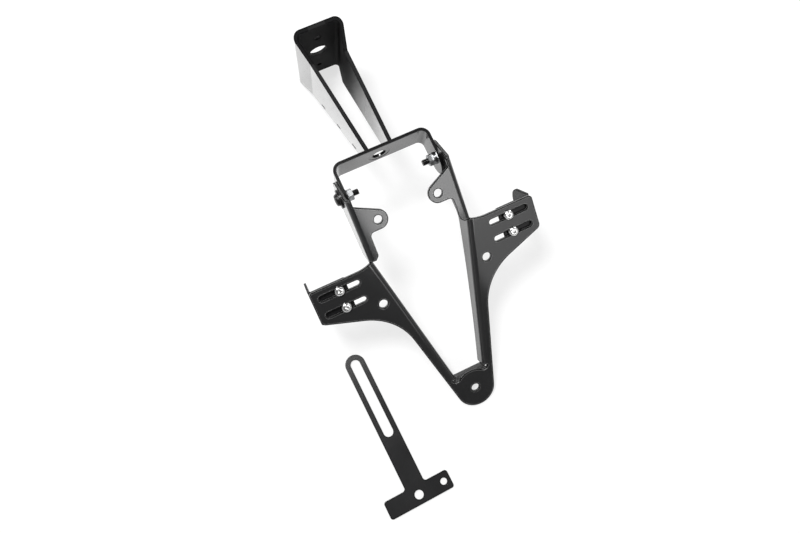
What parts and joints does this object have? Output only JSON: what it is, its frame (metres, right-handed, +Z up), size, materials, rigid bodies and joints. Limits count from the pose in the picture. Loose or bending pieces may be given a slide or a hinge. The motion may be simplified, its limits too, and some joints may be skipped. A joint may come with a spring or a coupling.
{
  "type": "motorbike tail tidy",
  "caption": "Folded black steel tail tidy: arm with cable box, U strap, tilting number plate holder with slotted wings, sliding indicator brackets and a loose T-shaped reflector bracket.",
  "frame": {"origin": "middle of the footprint, on the floor that the part rests on", "axes": "+Z up, +Y from the holder's bottom end towards the arm's box, +X to the right seen from the holder's face"},
  "size_m": [0.2436, 0.4742, 0.1365],
  "materials": {
    "black_coat": "satin",
    "black_fastener": "satin",
    "steel": "bright zinc plate"
  },
  "bodies": {
    "upper_bracket": {"mounting_arm": "black_coat", "pivot_strap": "black_coat", "pivot_bolt_right": "black_fastener", "pivot_outer_washer_right": "black_fastener", "pivot_inner_washer_right": "steel", "pivot_nut_right": "steel", "pivot_bolt_left": "black_fastener", "pivot_outer_washer_left": "black_fastener", "pivot_inner_washer_left": "steel", "pivot_nut_left": "steel", "reflector_bracket": "black_coat"},
    "number_plate_holder": {"plate_holder": "black_coat"},
    "indicator_mount_right": {"indicator_bracket_right": "black_coat", "indicator_screw_right_upper": "steel", "indicator_washer_right_upper": "steel", "indicator_nut_right_upper": "steel", "indicator_screw_right_lower": "steel", "indicator_washer_right_lower": "steel", "indicator_nut_right_lower": "steel"},
    "indicator_mount_left": {"indicator_bracket_left": "black_coat", "indicator_screw_left_upper": "steel", "indicator_washer_left_upper": "steel", "indicator_nut_left_upper": "steel", "indicator_screw_left_lower": "steel", "indicator_washer_left_lower": "steel", "indicator_nut_left_lower": "steel"}
  },
  "joints": [
    {"name": "plate_tilt", "type": "hinge", "parent": "upper_bracket", "child": "number_plate_holder", "pos_m": [0.0088, 0.04926, 0.10758], "axis": [1, 0, 0], "range_deg": [-90, 30]},
    {"name": "indicator_slide_right", "type": "slide", "parent": "number_plate_holder", "child": "indicator_mount_right", "axis": [1, 0, 0], "range_m": [-0.017, 0.017]},
    {"name": "indicator_slide_left", "type": "slide", "parent": "number_plate_holder", "child": "indicator_mount_left", "axis": [1, 0, 0], "range_m": [-0.017, 0.017]}
  ]
}
